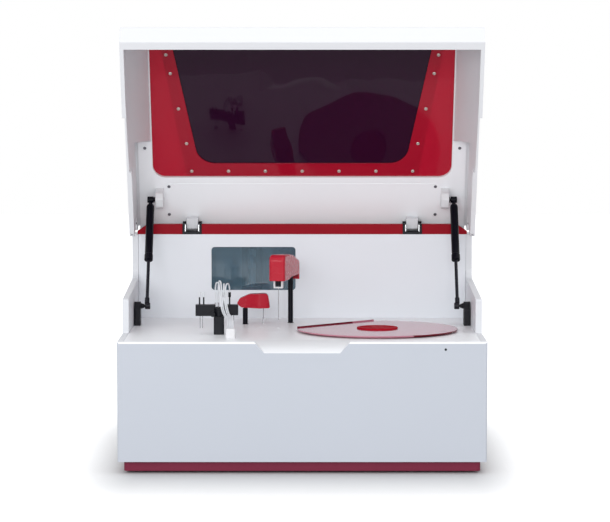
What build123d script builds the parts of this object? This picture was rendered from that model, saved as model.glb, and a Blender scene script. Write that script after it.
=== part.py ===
from build123d import *
import math
import os

# Benchtop chemistry analyzer with a lift-up lid, millimetres, +Z up.
# Every sub-part is drawn with Y = 0 at the front face, X = 0 at mid width and
# Z = 0 at the bench; save() moves it so that the origin is the centre of the
# footprint. The lid is drawn closed and swung open by lid_open_angle.

# ---------------------------------------------------------------- housing
body_width = 740
body_depth = 600
port_reach = 12                 # how far the hose ports stand out at the back
foot_height = 4
plinth_top = 24
plinth_inset = 12
deck_top = 266
deck_thickness = 6
wall_thickness = 13
skin = 4
front_skin = 5
ledge_depth = 40                # fixed ledge behind the front face
fit_gap = 0.3                   # visible joint between neighbouring covers
step_depth = 174                # where the side walls rise above the deck
step_top = 336
slope_top = 354                 # side wall height where it meets the rear post
rear_wall_depth = 510           # front of the inner rear wall and the posts
post_top = 449
hump_depth = 569
hump_top = 498

half_width = body_width / 2
inner_half = half_width - wall_thickness
cover_half = inner_half - fit_gap
overall_depth = body_depth + port_reach

# ---------------------------------------------------------------- lid
lid_axis = (535, 471)           # depth and height of the hinge pins
lid_open_angle = 64
lid_gap = 1                     # closed lid to body
lid_front_lean = 15             # the lid's front edge overhangs the front face
lid_front_top = 305.5
roof_break = 88                 # depth where the front slope meets the flat roof
roof_top = 500
roof_inside = 487
roof_rear = 551
lid_lip_half = 361.7            # inside of the deep front part's lower edge
lid_cove_start = (366.5, 340)   # where the inner side begins to slope to the panel
pocket_foot = 203.5             # depth where the rear pocket's front end meets Z = 200
hinge_x = 240
panel_half = 324                # red panel seen from inside
panel_front, panel_rear = 104, 429.7
panel_rebate = 10
panel_seat = 494
panel_thickness = 3.5
window_front, window_rear = 122, 399
window_front_half, window_rear_half = 275, 223.6
window_margin = 28
window_sheet_rear = 431         # the smoked sheet hides the panel down to its edge
window_thickness = 3
plate_front = 341.4
plate_half = 354.5
plate_thickness = 3

# ---------------------------------------------------------------- gas struts
strut_x = 329.5
strut_foot = (345, 307)         # lower ball
strut_head_closed = (473.5, 467)
strut_tube_radius = 8.5
strut_rod_radius = 3.5
strut_ball_radius = 5
strut_socket_radius = 7
strut_tube_start, strut_tube_end = 114, 256
strut_collar = (9.5, 16)        # radius and length of the tube's lower collar
running_gap = 0.06

# ---------------------------------------------------------------- on the deck
carousel_centre = (156, 218)
cover_radius = 166.6
cover_chord = ((-9.8, 229.6), (107, 342.5))
deck_hole_radius = 156
reaction_centre = (-178, 252)
cuvette_circle = 100
probe_centre = (-25, 400)
probe_reach = 125
probe_turn = 11.4               # the parked arm points this far left of the front
stirrer_centre = (-121.3, 370)
stirrer_reach = 38.5
arm_post_radius = 5.4
wash_centre = (-170.7, 151)

os.makedirs("parts", exist_ok=True)


# ---------------------------------------------------------------- drawing aids
def save(name, *solids):
    """Move the solids to the footprint's centre and write them as one node."""
    moved = [Pos(0, -overall_depth / 2, 0) * solid for solid in solids]
    shape = moved[0] if len(moved) == 1 else Compound(children=moved)
    export_step(shape, f"parts/{name}.step")


def block(x, y, z):
    """Box given by its low and high ends along each axis."""
    size = [high - low for low, high in (x, y, z)]
    centre = [(high + low) / 2 for low, high in (x, y, z)]
    return Pos(*centre) * Box(*size)


def round_block(x, y, z, radius):
    """Box with its four upright edges rounded."""
    solid = block(x, y, z)
    return fillet(solid.edges().filter_by(Axis.Z), radius)


def post(centre, z, radius):
    """Upright round bar between two heights."""
    low, high = z
    return Pos(centre[0], centre[1], (low + high) / 2) * Cylinder(radius, high - low)


def cross_bar(x, depth_height, radius):
    """Round bar along X between two sides."""
    low, high = x
    place = Pos((low + high) / 2, *depth_height) * Rot(0, 90, 0)
    return place * Cylinder(radius, high - low)


def through_bar(x, z, y, radius):
    """Round bar along Y between two depths."""
    low, high = y
    return Pos(x, (low + high) / 2, z) * Rot(90, 0, 0) * Cylinder(radius, high - low)


def outline(corners):
    """Closed face from corners given as (across, up, round)."""
    points = [(across, up) for across, up, _ in corners]
    rounds = [radius for _, _, radius in corners]
    return make_face(FilletPolyline(*points, radius=rounds, close=True))


def side_slab(corners, x):
    """Solid whose side view is the outline, from one X to another."""
    low, high = x
    return Pos(low, 0, 0) * extrude(Plane.YZ * outline(corners), amount=high - low)


def flat_slab(corners, z):
    """Solid whose top view is the outline, from one height to another."""
    low, high = z
    return Pos(0, 0, low) * extrude(outline(corners), amount=high - low)


def face_slab(corners, y):
    """Solid whose front view is the outline, from one depth to another."""
    low, high = y
    return Pos(0, high, 0) * extrude(Plane.XZ * outline(corners), amount=high - low)


def mirrored(solid):
    """The same piece on the other side of the machine."""
    return mirror(solid, about=Plane.YZ)


def opened(solid):
    """Swing a piece that is drawn on the closed lid to the open position."""
    to_axis = Pos(0, *lid_axis)
    return to_axis * Rot(-lid_open_angle, 0, 0) * to_axis.inverse() * solid


def opened_point(depth_height):
    """Where a point of the closed lid's side view goes when the lid opens."""
    angle = math.radians(lid_open_angle)
    across = depth_height[0] - lid_axis[0]
    up = depth_height[1] - lid_axis[1]
    depth = lid_axis[0] + across * math.cos(angle) + up * math.sin(angle)
    height = lid_axis[1] - across * math.sin(angle) + up * math.cos(angle)
    return depth, height


# ---------------------------------------------------------------- housing
def base_tray():
    half = half_width - plinth_inset
    back = body_depth - plinth_inset
    rim = 6
    outer = round_block((-half, half), (plinth_inset, back), (foot_height, plinth_top), 8)
    pocket = block(
        (-half + rim, half - rim),
        (plinth_inset + rim, back - rim),
        (foot_height + skin, plinth_top + 1),
    )
    return outer - pocket


def feet():
    spots = [(x, y) for x in (-320, 320) for y in (50, 550)]
    return [post(spot, (0, foot_height), 16) for spot in spots]


def chassis():
    """Base plate, four uprights, two side rails and a rear cross rail."""
    floor = foot_height + skin
    deck_under = deck_top - deck_thickness
    frame = block((-350, 350), (20, 580), (floor, floor + 3))
    for side in (-1, 1):
        x = sorted((side * 330, side * 350))
        for y in ((24, 44), (490, rear_wall_depth)):
            frame += block(x, y, (floor, deck_under))
        frame += block(x, (24, rear_wall_depth), (248, deck_under))
    frame += block((-350, 350), (490, rear_wall_depth), (248, deck_under))
    return frame


scoop_top_half, scoop_bottom_half = 96.5, 75
scoop_bottom = 242.5
scoop_reach = 36
front_edge_radius = 4.8
status_light_spot = (286.6, 250.4)


def front_panel():
    """Face, the fixed ledge behind its top edge, and the lid's finger scoop."""
    under = deck_top - deck_thickness
    skin_side = [(0, plinth_top, 0), (front_skin, plinth_top, 0), (front_skin, deck_top, 0)]
    face = side_slab(skin_side + [(0, deck_top, front_edge_radius)], (-half_width, half_width))
    face += block((-cover_half, cover_half), (front_skin - 0.5, ledge_depth), (under, deck_top))
    corners = [(-half_width, 0, 4), (half_width, 0, 4), (half_width, 50, 0), (-half_width, 50, 0)]
    face = face & flat_slab(corners, (0, 300))
    housing = block((-110, 110), (front_skin, ledge_depth), (scoop_bottom - 8, under))
    notch = face_slab(
        [
            (-scoop_top_half, deck_top, 0),
            (-scoop_bottom_half, scoop_bottom, 3),
            (scoop_bottom_half, scoop_bottom, 3),
            (scoop_top_half, deck_top, 0),
            (scoop_top_half, deck_top + 5, 0),
            (-scoop_top_half, deck_top + 5, 0),
        ],
        (-1, ledge_depth),
    )
    slope = side_slab(
        [(-1, scoop_bottom, 0), (scoop_reach, deck_top, 0), (scoop_reach, 280, 0), (-1, 280, 0)],
        (-120, 120),
    )
    light_hole = through_bar(*status_light_spot, (-1, front_skin + 1), 2.6)
    return face + housing - (notch & slope) - light_hole


def status_light():
    return through_bar(*status_light_spot, (0.2, front_skin + 4), 2.6)


def side_panel():
    """Right-hand side: low beside the ledge, then a raised wall and rear post."""
    start = front_skin + fit_gap
    panel = side_slab(
        [
            (start, plinth_top, 0),
            (body_depth, plinth_top, 3),
            (body_depth, post_top, 6),
            (rear_wall_depth, post_top, 2),
            (rear_wall_depth, slope_top, 20),
            (step_depth, step_top, 4),
            (step_depth, deck_top, 2),
            (start, deck_top, 1),
        ],
        (inner_half, half_width),
    )
    pocket = block(
        (inner_half - 1, half_width - skin),
        (start + 20, body_depth - 20),
        (plinth_top + 16, deck_top - 26),
    )
    return panel - pocket


fan_spot = (240, 130)
inlet_spot = (-230, 70)
inlet_half = (42, 15)
port_spots = [(-120, 60), (-90, 60), (-60, 60)]
port_radius, port_neck_radius = 4, 5


def rear_cover():
    """Back skin, top strip behind the lid and the raised rear hump, bent as one."""
    inner = body_depth - skin
    flange_end = 550
    cover = side_slab(
        [
            (flange_end, post_top - skin, 0),
            (flange_end, post_top, 0),
            (hump_depth, post_top, 0),
            (hump_depth, hump_top, 4),
            (body_depth, hump_top, 6),
            (body_depth, plinth_top, 0),
            (inner, plinth_top, 0),
            (inner, hump_top - skin, 2),
            (hump_depth + skin, hump_top - skin, 0),
            (hump_depth + skin, post_top - skin, 0),
        ],
        (-cover_half, cover_half),
    )
    through = (inner - 1, body_depth + 1)
    cover -= through_bar(*fan_spot, through, 36)
    x, z = inlet_spot
    wide, tall = inlet_half
    cover -= block((x - wide, x + wide), through, (z - tall, z + tall))
    for spot in port_spots:
        cover -= through_bar(*spot, through, port_neck_radius + 0.1)
    for row in range(10):
        low = 290 + row * 12
        cover -= block((60, 220), through, (low, low + 5))
    return cover


def swung_spot(centre, reach, heading):
    """Where an arm's tip stands when the arm points this many degrees from +X."""
    angle = math.radians(heading)
    return centre[0] + reach * math.cos(angle), centre[1] + reach * math.sin(angle)


needle_spot = swung_spot(probe_centre, probe_reach, 270 - probe_turn)
paddle_spot = swung_spot(stirrer_centre, stirrer_reach, 0)
wells = [
    needle_spot,
    swung_spot(probe_centre, probe_reach, -45.2),
    swung_spot(probe_centre, probe_reach, -120),
    paddle_spot,
    swung_spot(stirrer_centre, stirrer_reach, -87),
    (-207, 157),
    (-143, 157),
]


def chord_side(inset, z):
    """The part of the carousel area that the cover's straight cut takes away."""
    (x1, y1), (x2, y2) = cover_chord
    length = math.hypot(x2 - x1, y2 - y1)
    along = ((x2 - x1) / length, (y2 - y1) / length)
    outward = (-along[1], along[0])
    reach = 2 * cover_radius
    near = [
        (x1 + s * reach * along[0] - inset * outward[0], y1 + s * reach * along[1] - inset * outward[1])
        for s in (-1, 1)
    ]
    far = [(x + reach * outward[0], y + reach * outward[1]) for x, y in reversed(near)]
    return flat_slab([(x, y, 0) for x, y in near + far], z)


def deck():
    """White work surface with the carousel opening and the small wells."""
    z = (deck_top - deck_thickness, deck_top)
    past = (z[0] - 1, z[1] + 1)
    back = rear_wall_depth - fit_gap
    plate = block((-cover_half, cover_half), (ledge_depth + fit_gap, back), z)
    opening = post(carousel_centre, past, deck_hole_radius) - chord_side(6, past)
    plate -= opening
    for spot in wells:
        plate -= post(spot, past, 4)
    for spot in (probe_centre, stirrer_centre):
        plate -= post(spot, past, guide_collar_radius + fit_gap)
    plate -= block((-79, -29), (197, 199), (deck_top - 1, deck_top + 1))
    plate -= post((-29, 198), (deck_top - 1, deck_top + 1), 2.5)
    return plate


rear_window = ((-197.7, -14.6), (326.9, 421))


def window_outline(grow, radius):
    (x1, x2), (z1, z2) = rear_window
    return [
        (x1 - grow, z1 - grow, radius),
        (x2 + grow, z1 - grow, radius),
        (x2 + grow, z2 + grow, radius),
        (x1 - grow, z2 + grow, radius),
    ]


def inner_rear_wall():
    """White wall behind the deck with a top flange that carries the hinge rail."""
    front = rear_wall_depth
    inner = front + skin
    wall = side_slab(
        [
            (front, 248, 0),
            (inner, 248, 0),
            (inner, post_top - skin, 2),
            (549.7, post_top - skin, 0),
            (549.7, post_top, 0),
            (front, post_top, 1),
        ],
        (-cover_half, cover_half),
    )
    return wall - face_slab(window_outline(0, 7), (front - 1, inner + 1))


def syringe_window():
    inner = rear_wall_depth + skin
    return face_slab(window_outline(8, 8), (inner, inner + 3))


rail_half = 359
rail_depth = 20
rail_top = 471
rail_web = 2.5
notch_half = 21
hinge_lip = 4


def hinge_rail():
    """Red bar on the rear wall, notched for the two hinges and their front lips."""
    rail = face_slab(
        [
            (-rail_half, post_top, 0),
            (rail_half, post_top, 0),
            (rail_half, 456, 1),
            (rail_half - 22, rail_top, 3),
            (-rail_half + 22, rail_top, 3),
            (-rail_half, 456, 1),
        ],
        (rear_wall_depth, rear_wall_depth + rail_depth),
    )
    for x in (-hinge_x, hinge_x):
        rail -= block(
            (x - notch_half, x + notch_half),
            (rear_wall_depth - 1, rear_wall_depth + rail_depth + 1),
            (post_top + rail_web, rail_top + 1),
        )
        rail -= block(
            (x - notch_half, x + notch_half),
            (rear_wall_depth - 1, rear_wall_depth + hinge_lip + fit_gap),
            (post_top - 1, rail_top + 1),
        )
    return rail


pin_radius = 2.5
arm_half = 12.7


def hinge_bracket(x):
    """Black cup in the rail's notch with the hinge pin riveted across it."""
    low = post_top + rail_web
    half = notch_half - 0.2
    front, back = rear_wall_depth, rear_wall_depth + 38
    cup = side_slab(
        [
            (front, low, 0),
            (back, low, 2),
            (back, rail_top, 6),
            (front, rail_top, 3),
        ],
        (x - half, x + half),
    )
    cup += cross_bar((x - half, x + half), lid_axis, 5)
    cup -= block(
        (x - arm_half - 0.5, x + arm_half + 0.5),
        (front - 1, back + 1),
        (low + 2.5, 490),
    )
    cup += block((x - half, x + half), (rear_wall_depth + rail_depth, back), (post_top, low))
    cup += block((x - half, x + half), (front, front + hinge_lip), (post_top, low))
    return cup + cross_bar((x - half, x + half), lid_axis, pin_radius)


# ---------------------------------------------------------------- lid, drawn closed
def lid_shell():
    """Hood with a leaning front edge, front slope, flat roof and stepped sides."""
    rim = deck_top + lid_gap
    side_front = step_depth - lid_gap
    side_back = rear_wall_depth - 1.5
    outer = side_slab(
        [
            (0, rim, 2),
            (-lid_front_lean, lid_front_top, 5),
            (roof_break, roof_top, 25),
            (roof_rear, roof_top, 8),
            (roof_rear, 470, 3),
            (540, 452.5, 3),
            (side_back, 452.5, 1),
            (side_back, slope_top + lid_gap, 19),
            (side_front, step_top + lid_gap, 3),
            (side_front, rim, 2),
        ],
        (-half_width, half_width),
    )
    front_pocket = side_slab(
        [
            (17, 200, 0),
            (17, 340, 10),
            (95, roof_inside, 12),
            (plate_front, roof_inside, 0),
            (plate_front, 200, 0),
        ],
        (-half_width, half_width),
    )
    right_side = [(lid_lip_half, 200, 0), (lid_lip_half, rim, 0), (*lid_cove_start, 0)]
    right_side += [(panel_half + 2, roof_inside, 0)]
    left_side = [(-across, up, radius) for across, up, radius in reversed(right_side)]
    front_pocket = front_pocket & face_slab(right_side + left_side, (0, plate_front + 1))
    rear_half = inner_half + 3
    plate_back = roof_inside + plate_thickness
    rear_pocket = side_slab(
        [
            (plate_front - 1, plate_back, 0),
            (roof_rear + 1, plate_back, 0),
            (roof_rear + 1, 200, 0),
            (pocket_foot, 200, 0),
        ],
        (-rear_half, rear_half),
    )
    opening = flat_slab(panel_outline(0, 28), (roof_inside - 1, roof_top + 1))
    rebate = flat_slab(panel_outline(panel_rebate, 34), (panel_seat, roof_top + 1))
    return outer - front_pocket - rear_pocket - opening - rebate


def panel_outline(grow, radius):
    front = panel_front - min(grow, 8)
    back = panel_rear + grow
    half = panel_half + grow
    return [(-half, front, 8), (half, front, 8), (half, back, radius), (-half, back, radius)]


def trapezoid(grow, front, back, radius):
    return [
        (-window_front_half - grow, front, 6),
        (window_front_half + grow, front, 6),
        (window_rear_half + grow, back, radius),
        (-window_rear_half - grow, back, radius),
    ]


def lid_red_panel():
    """Red acrylic in the roof's rebate, cut out for the smoked window."""
    z = (panel_seat, panel_seat + panel_thickness)
    panel = flat_slab(panel_outline(panel_rebate - 0.5, 33), z)
    cut = trapezoid(0, window_front, window_rear, 42)
    return panel - flat_slab(cut, (z[0] - 1, z[1] + 1))


def lid_window():
    """Smoked acrylic laid on the red panel, with a screwed margin all round."""
    low = panel_seat + panel_thickness
    sheet = trapezoid(window_margin, window_front - 16, window_sheet_rear, 12)
    return flat_slab(sheet, (low, low + window_thickness))


def lid_inner_plate():
    """White plate round the lower half of the panel, with one pressed crease."""
    z = (roof_inside, roof_inside + plate_thickness)
    plate = block((-plate_half, plate_half), (plate_front, roof_rear - 1), z)
    plate -= flat_slab(panel_outline(0, 28), (z[0] - 1, z[1] + 1))
    return plate - block((-290, 290), (443.5, 445), (z[0] - 1, z[0] + 0.8))


def screw(centre, face_height, head_radius):
    """Dome-headed screw seen from below, its shank going up into the lid."""
    head_height = 2
    head = post(centre, (face_height - head_height, face_height), head_radius)
    head = fillet(head.edges().sort_by(Axis.Z)[0], 1.2)
    return head + post(centre, (face_height, face_height + 5), 1.5)


def lid_screws():
    """Window screws at an even pitch round the smoked sheet, and plate screws."""
    pitch = 80
    window_spots = [(column * pitch, 417.5) for column in range(-3, 4)]
    window_spots += [(column * pitch, 112) for column in range(-3, 4)]
    slant = (window_front_half - window_rear_half) / (window_rear - window_front)
    for depth in (138, 182, 266, 350):
        across = window_front_half + 17 - slant * (depth - window_front)
        window_spots += [(-across, depth), (across, depth)]
    plate_spots = [(s * x, y) for s in (-1, 1) for x, y in ((340, 357.5), (290, 452), (291, 521))]
    screws = [screw(spot, panel_seat, 3.8) for spot in window_spots]
    return screws + [screw(spot, roof_inside, 3.5) for spot in plate_spots]


def hinge_arm(x):
    """White knuckle round the pin, flat in front when open, with a web to the plate."""
    reach = (x - arm_half, x + arm_half)
    depth, height = lid_axis
    knuckle = cross_bar(reach, lid_axis, 15)
    flat = block(reach, (depth - 20, depth - 11), (height - 20, height + 20))
    to_axis = Pos(0, depth, height)
    knuckle -= to_axis * Rot(lid_open_angle, 0, 0) * to_axis.inverse() * flat
    web = block(reach, (depth - 5, roof_rear - 2), (height + 4, roof_inside))
    return knuckle + web - cross_bar((x - 20, x + 20), lid_axis, pin_radius + running_gap)


def strut_upper_bracket():
    """White block on the inner plate beside the right strut's upper ball."""
    solid = side_slab(
        [
            (455, roof_inside, 0),
            (455, 462, 6),
            (465, 452, 6),
            (484, 452, 6),
            (494, 462, 6),
            (494, roof_inside, 0),
        ],
        (302, 318.8),
    )
    return solid


def lid_buffer(depth, height):
    """Rubber stop let into the lid's edge, standing half a millimetre proud."""
    return post((half_width - 5.2, depth), (height - 0.5, height + 4), 4.2)


def lid_buffers():
    rise = (slope_top - step_top) / (rear_wall_depth - step_depth)
    rim_depth = 494
    rim_height = step_top + lid_gap + rise * (rim_depth - step_depth)
    right = [lid_buffer(524, 452.5), lid_buffer(rim_depth, rim_height + 2.0)]
    return right + [mirrored(solid) for solid in right]


# ---------------------------------------------------------------- gas struts
def strut_place(x):
    """Frame at the lower ball, its Z along the strut when the lid is open."""
    head = opened_point(strut_head_closed)
    lean = (0, head[0] - strut_foot[0], head[1] - strut_foot[1])
    return Plane(origin=(x, *strut_foot), x_dir=(1, 0, 0), z_dir=lean).location


def strut_length():
    head = opened_point(strut_head_closed)
    return math.hypot(head[0] - strut_foot[0], head[1] - strut_foot[1])


def strut_ball(radius):
    """Ball at the strut's foot, its poles along the stud."""
    return Pos(strut_x, *strut_foot) * Rot(0, 90, 0) * Sphere(radius)


def strut_tube():
    """Right strut's pressure tube, end fitting and the stud towards the bracket."""
    start, end, length = strut_tube_start, strut_tube_end, strut_length()
    tube = post((0, 0), (start, end), strut_tube_radius)
    tube = fillet(tube.edges().filter_by(GeomType.CIRCLE), 1.5)
    collar = post((0, 0), (start, start + strut_collar[1]), strut_collar[0])
    tube += fillet(collar.edges().filter_by(GeomType.CIRCLE), 1.5)
    tube -= post((0, 0), (start - 1, end - 6), strut_rod_radius + running_gap)
    tube += post((0, 0), (end - 1, length), 4)
    upright = strut_place(strut_x) * tube
    head = opened_point(strut_head_closed)
    upright += cross_bar((strut_x - 7, strut_x + 7), head, strut_socket_radius)
    stud = cross_bar((320, strut_x), head, 3.5)
    flange = cross_bar((319.2, 321.4), head, 6.5)
    return upright + stud + flange


def strut_rod():
    """Right strut's piston rod with the socket of the lower ball."""
    rod = post((0, 0), (0, strut_tube_start + 30), strut_rod_radius)
    rod += post((0, 0), (0, 20), 5)
    rod = strut_place(strut_x) * rod
    rod += cross_bar((strut_x - 7, strut_x + 4), strut_foot, strut_socket_radius)
    mouth = cross_bar((strut_x, strut_x + 10), strut_foot, 4.6)
    return rod - strut_ball(strut_ball_radius + running_gap) - mouth


def strut_lower_bracket():
    """Black foot on the deck beside the side wall, with the lower ball stud."""
    foot = side_slab(
        [
            (329, deck_top, 0),
            (361, deck_top, 0),
            (361, 300, 8),
            (353, 316, 7),
            (337, 316, 7),
            (329, 300, 8),
        ],
        (342.5, cover_half - 1),
    )
    stud = cross_bar((strut_x, 343), strut_foot, 3)
    stud += Pos(339, *strut_foot) * Rot(0, 90, 0) * Cone(4, 6.5, 8)
    return foot + stud + strut_ball(strut_ball_radius)


# ---------------------------------------------------------------- reagent carousel
bowl_floor = 130
bowl_rim = 259.7
spindle_radius = 6
bottle_seat = 149
tray_radius = 146
bottle_rings = ((129, 20), (88, 13), (48, 7))
bottle_radius = 15.5
cover_z = (269.4, 272)
cover_lip = 2.4


def cooling_bowl():
    outer = post(carousel_centre, (bowl_floor, bowl_rim), 160)
    inner = post(carousel_centre, (bowl_floor + 12, bowl_rim + 1), 150)
    shaft_hole = post(carousel_centre, (bowl_floor - 1, bowl_floor + 20), spindle_radius + 3)
    return outer - inner - shaft_hole


def motor(centre, half, z, boss_top, bore):
    """Square stepper motor under a bowl, with a bored bearing boss on top."""
    x, y = centre
    low, high = z
    body = round_block((x - half, x + half), (y - half, y + half), z, 4)
    body += post(centre, (high, boss_top), half * 0.55)
    return body - post(centre, (low + 15, boss_top + 1), bore)


def bottle_spots():
    x, y = carousel_centre
    for radius, count in bottle_rings:
        for number in range(count):
            angle = math.tau * number / count
            yield x + radius * math.cos(angle), y + radius * math.sin(angle)


def carousel_rotor():
    """Spindle with a floor disc and a holed upper disc that keeps bottles upright."""
    rotor = post(carousel_centre, (78, 250), spindle_radius)
    rotor += post(carousel_centre, (bottle_seat - 3, 215), 18)
    rotor += post(carousel_centre, (bottle_seat - 3, bottle_seat), tray_radius)
    rotor += post(carousel_centre, (200, 203), tray_radius)
    for spot in bottle_spots():
        rotor -= post(spot, (199, 204), bottle_radius + 0.4)
    return rotor


def reagent_bottle(centre):
    bottle = post(centre, (bottle_seat, 222), bottle_radius)
    bottle = fillet(bottle.edges().filter_by(GeomType.CIRCLE), 2)
    return bottle + post(centre, (222, 228), 8) + post(centre, (228, 240), 10)


def carousel_cover():
    """Thin tinted disc on a set-back ring, cut straight with a turned-up lip there."""
    low, high = cover_z
    disc = post(carousel_centre, (low, high), cover_radius)
    ring = post(carousel_centre, (bowl_rim + fit_gap, low), 154)
    ring -= post(carousel_centre, (bowl_rim, low), 150)
    ring -= chord_side(14, (255, low))
    lip = post(carousel_centre, (high, high + cover_lip), cover_radius) & chord_side(1.8, (255, 280))
    return disc + ring + lip - chord_side(0, (255, 280))


def cover_knob():
    """Low red hub with a bar across its dished top for lifting the cover off."""
    low = cover_z[1]
    knob = post(carousel_centre, (low, low + 2.6), 42.5)
    knob = fillet(knob.edges().filter_by(GeomType.CIRCLE).sort_by(Axis.Z)[-1], 1.2)
    knob -= post(carousel_centre, (low + 1, low + 5), 37)
    x, y = carousel_centre
    bar = block((x - 13, x + 13), (y - 37.5, y + 37.5), (low + 0.5, low + 2.9))
    return knob + bar


# ---------------------------------------------------------------- reaction rotor
reaction_floor = 190
reaction_spindle = 5
cuvette_count = 40


def reaction_bowl():
    outer = post(reaction_centre, (reaction_floor, bowl_rim), cuvette_circle + 12)
    inner = post(reaction_centre, (reaction_floor + 6, bowl_rim + 1), cuvette_circle + 8)
    shaft_hole = post(reaction_centre, (180, 200), reaction_spindle + 3)
    return outer - inner - shaft_hole


def reaction_rotor():
    """Spindle and disc with a ring of square cuvettes hanging from its edge."""
    rotor = post(reaction_centre, (105, 250), reaction_spindle)
    rotor += post(reaction_centre, (242, 248), cuvette_circle + 5)
    hub = post(reaction_centre, (220, 252), 16)
    for number in range(cuvette_count):
        place = Pos(*reaction_centre, 230) * Rot(0, 0, 360 * number / cuvette_count)
        rotor += place * Pos(cuvette_circle, 0, 0) * Box(7, 7, 30)
        rotor -= place * Pos(cuvette_circle, 0, 3) * Box(5, 5, 34)
    return rotor + hub


# ---------------------------------------------------------------- arms
guide_collar_radius = 7.5
probe_cover_z = (366.5, 421.5)


def lift_guide(centre):
    """Column under the deck in which an arm's post slides."""
    x, y = centre
    column = round_block((x - 13, x + 13), (y - 13, y + 13), (60, 258), 3)
    column += post(centre, (258, deck_top), guide_collar_radius)
    return column - post(centre, (70, deck_top + 1), arm_post_radius + running_gap)


def arm_post(centre, top):
    """Black post that rises and sinks, with a thinner journal for the arm."""
    bar = post(centre, (130, top), arm_post_radius)
    return bar + post(centre, (top, top + 14), 3)


def probe_frame():
    """Frame at the probe post, its Y pointing back along the parked arm."""
    return Pos(*probe_centre, 0) * Rot(0, 0, -probe_turn)


def probe_cover():
    """Red hood over the arm, deeper at the needle end."""
    low, high = probe_cover_z
    hood = side_slab(
        [
            (-probe_reach - 18, low, 0),
            (-probe_reach - 18, high, 14),
            (-80, high - 2.5, 30),
            (-40, high - 6.5, 20),
            (18, high - 21, 12),
            (18, low - 7, 0),
            (9, low - 7, 0),
            (9, low + 4, 0),
            (-70, low + 4, 0),
            (-96, low, 0),
        ],
        (-17, 17),
    )
    sides = hood.edges().filter_by(lambda e: abs(abs(e.center().X) - 17) < 0.1)
    hood = fillet(sides.filter_by(lambda e: e.center().Z > low + 6), 6)
    hollow = block((-14, 14), (-92, 14), (low - 1, low + 18))
    bearing = post((0, 0), (low + 4, low + 22), 8)
    journal = post((0, 0), (low - 1, low + 19), 3 + running_gap)
    return probe_frame() * (hood - hollow + bearing - journal)


def probe_needle():
    """Steel needle under its round black collar."""
    x = needle_spot
    needle = post(x, (284, 360), 0.9)
    return needle + post(x, (355, probe_cover_z[0]), 5.5)


def needle_guard():
    """White U-shaped clip round the collar."""
    tall = (350.5, probe_cover_z[0])
    ears = block((-9.5, -6.5), (-5, 5), tall) + block((6.5, 9.5), (-5, 5), tall)
    floor = block((-9.5, 9.5), (-5, 5), (tall[0], tall[0] + 2.5))
    guard = ears + floor - post((0, 0), (350, 354), 2)
    return probe_frame() * Pos(0, -probe_reach, 0) * guard


stirrer_cover_z = (300.3, 332)


def stirrer_cover():
    """Red teardrop hood, its blunt end over the paddle."""
    low, high = stirrer_cover_z
    x, y = stirrer_centre
    side = [
        (x - 18.2, low + 10, 4),
        (x - 11.7, low + 21, 9),
        (x + 10, high - 1.2, 22),
        (x + 48.3, high, 9),
        (x + 52.8, low + 0.5, 3),
        (x + 30, low, 0),
        (x - 8.2, low + 2, 6),
    ]
    hood = face_slab(side, (y - 15, y + 15))
    plan = [
        (x - 19, y - 8, 7),
        (x + 30, y - 15, 20),
        (x + 53, y - 11, 10),
        (x + 53, y + 11, 10),
        (x + 30, y + 15, 20),
        (x - 19, y + 8, 7),
    ]
    hood = hood & flat_slab(plan, (low - 2, high + 2))
    hood -= post(paddle_spot, (low - 2, low + 16), 4)
    return hood - post(stirrer_centre, (low - 2, low + 15), 3 + running_gap)


def stirrer_paddle():
    """Round motor spindle with a thin flat paddle."""
    low = stirrer_cover_z[0]
    shaft = post(paddle_spot, (278, low + 14), 1)
    shaft += post(paddle_spot, (low + 1, low + 14), 3.6)
    x, y = paddle_spot
    return shaft + block((x - 2.2, x + 2.2), (y - 0.5, y + 0.5), (267.6, 280))


# ---------------------------------------------------------------- wash station
wash_rod_radius = 5
manifold_z = (304, 326.7)
nozzle_columns = (-210.6, -202, -159.9, -148.9)
nozzle_row = 157
carriage_stems = (-178, -172)   # short stems on the carriage that feed two tubes
tube_radius = 1.5
grommet_spot = (-145, 74)
grommet_top = 286


def wash_column():
    x, y = wash_centre
    column = round_block((x - 10.5, x + 10.5), (y - 9, y + 9), (deck_top, 303), 3)
    return column - post(wash_centre, (deck_top + 2, 304), wash_rod_radius + running_gap)


def wash_manifold():
    """Two black blocks on a carriage whose rod slides in the column."""
    low, high = manifold_z
    x, y = wash_centre
    blocks = round_block((-218.6, -178.4), (146, 168), (low, high), 2)
    blocks += round_block((-156.3, -131.3), (146, 168), (low + 1.5, high), 2)
    blocks += round_block((-190, -146), (152, 166), (low, high - 5), 2)
    blocks += post(wash_centre, (low, high - 8), 9)
    knob = through_bar(-183, 308, (134, 148), 5)
    return blocks + knob + post(wash_centre, (deck_top + 4, low), wash_rod_radius)


def wash_nozzles():
    """Steel tubes through the blocks: four capped, two open stems, four reaching down."""
    low, high = manifold_z
    capped = []
    for x in nozzle_columns:
        stem = post((x, nozzle_row), (high - 8, 345), 1.5)
        capped.append(stem + post((x, nozzle_row), (342, 352), 2.8))
    for x in carriage_stems:
        capped.append(post((x, nozzle_row), (high - 13, 331), 1.5))
    dips = [post((x, nozzle_row), (278, low), 0.8) for x in (-209.5, -204.5)]
    dips += [post((x, nozzle_row), (278, low + 1.5), 0.8) for x in (-145.5, -140.5)]
    return capped + dips


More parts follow.
